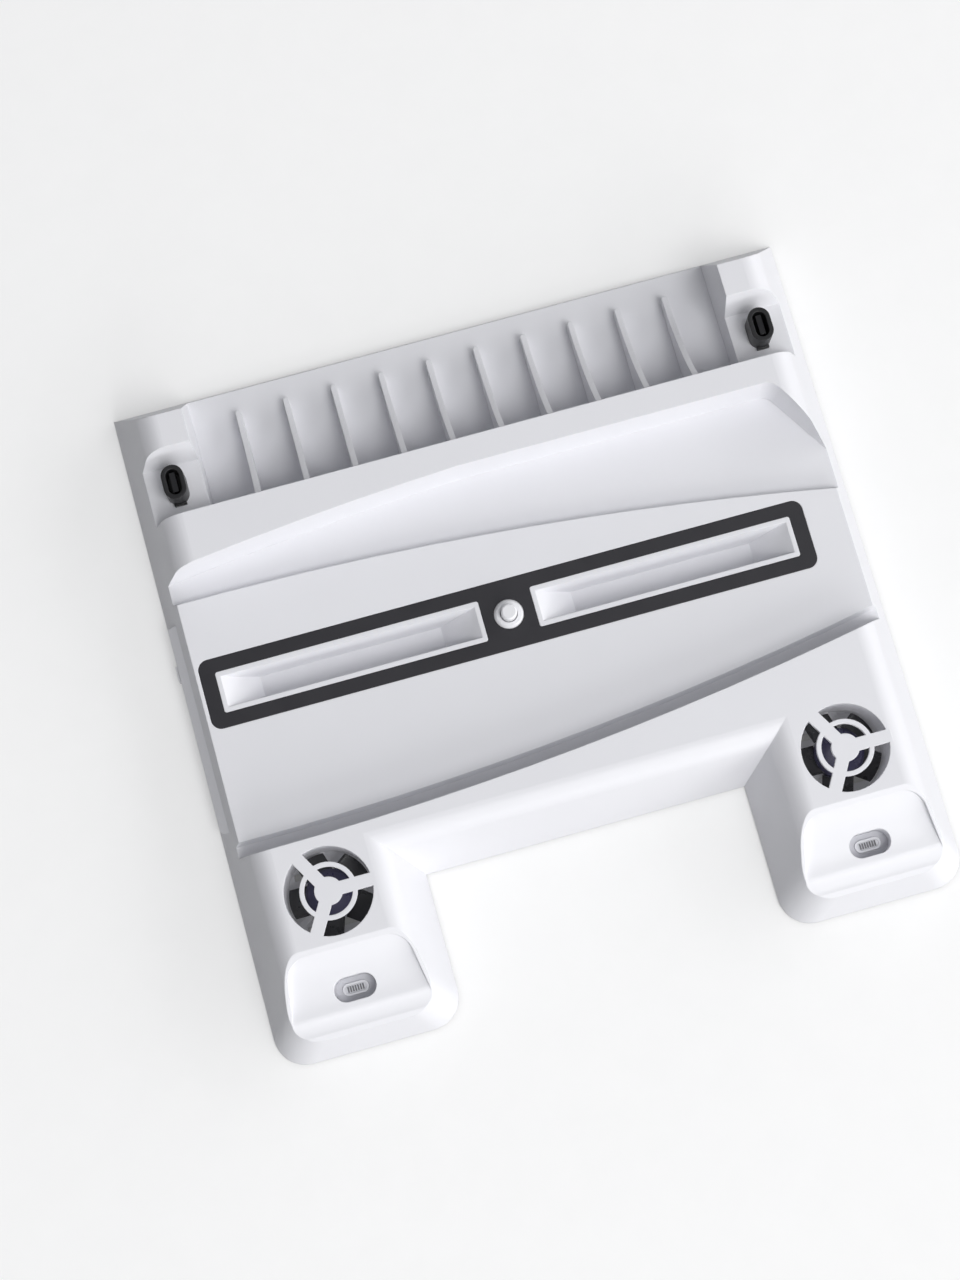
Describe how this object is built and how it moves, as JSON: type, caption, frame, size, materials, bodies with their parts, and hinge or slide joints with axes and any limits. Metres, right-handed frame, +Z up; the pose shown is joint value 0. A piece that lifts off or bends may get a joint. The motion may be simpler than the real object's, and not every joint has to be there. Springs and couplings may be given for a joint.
{
  "type": "console vertical stand",
  "caption": "White moulded stand that holds a game console upright, with a raised cradle, cooling fans, controller charging pods at the front and a ribbed game rack at the rear.",
  "frame": {"origin": "centre of the overall bounding box at the bottom of the rubber feet, on the surface it stands on", "axes": "+X to the right seen from the front, +Y to the rear where the game rack is, +Z up"},
  "size_m": [0.2404, 0.2328, 0.0281],
  "materials": {
    "housing_white": "fine moulded satin",
    "plate_white": "moulded satin",
    "foot_rubber": "matte",
    "screw_steel": "zinc plated",
    "trim_black": "satin",
    "collar_white": "semi gloss",
    "fan_black": "satin",
    "rotor_black": "semi gloss",
    "post_black": "satin",
    "contact_black": "gloss",
    "bezel_grey": "satin",
    "port_grey": "satin",
    "inlet_steel": "drawn",
    "board_green": "solder mask"
  },
  "bodies": {
    "base": {"upper_shell": "housing_white", "base_plate": "plate_white", "rubber_feet": "foot_rubber", "base_screws": "screw_steel", "trim_frame": "trim_black", "screw_collar": "collar_white", "button_switch": "contact_black", "power_inlet": "inlet_steel", "inlet_tongue": "contact_black", "main_board": "board_green", "fan_frame_left": "fan_black", "charge_post_left": "post_black", "post_tongue_left": "contact_black", "pod_port_left": "port_grey", "port_contacts_left": "contact_black", "port_bezel_left": "bezel_grey", "fan_frame_right": "fan_black", "charge_post_right": "post_black", "post_tongue_right": "contact_black", "pod_port_right": "port_grey", "port_contacts_right": "contact_black", "port_bezel_right": "bezel_grey"},
    "rotor_left": {"fan_rotor_left": "rotor_black"},
    "rotor_right": {"fan_rotor_right": "rotor_black"},
    "locating_screw": {"console_screw": "collar_white"},
    "button": {"side_button": "collar_white"}
  },
  "joints": [
    {"name": "fan_left_spin", "type": "hinge", "parent": "base", "child": "rotor_left", "pos_m": [-0.0885, -0.06425, 0.02], "axis": [0, 0, 1], "continuous": true},
    {"name": "fan_right_spin", "type": "hinge", "parent": "base", "child": "rotor_right", "pos_m": [0.0885, -0.06425, 0.02], "axis": [0, 0, 1], "continuous": true},
    {"name": "locating_screw_turn", "type": "hinge", "parent": "base", "child": "locating_screw", "pos_m": [-0.006, 0.01081, 0.01], "axis": [0, 0, 1], "continuous": true},
    {"name": "side_button_press", "type": "slide", "parent": "base", "child": "button", "axis": [1, 0, 0], "range_m": [0, 0.0006], "stiffness_N_per_m": 900}
  ]
}
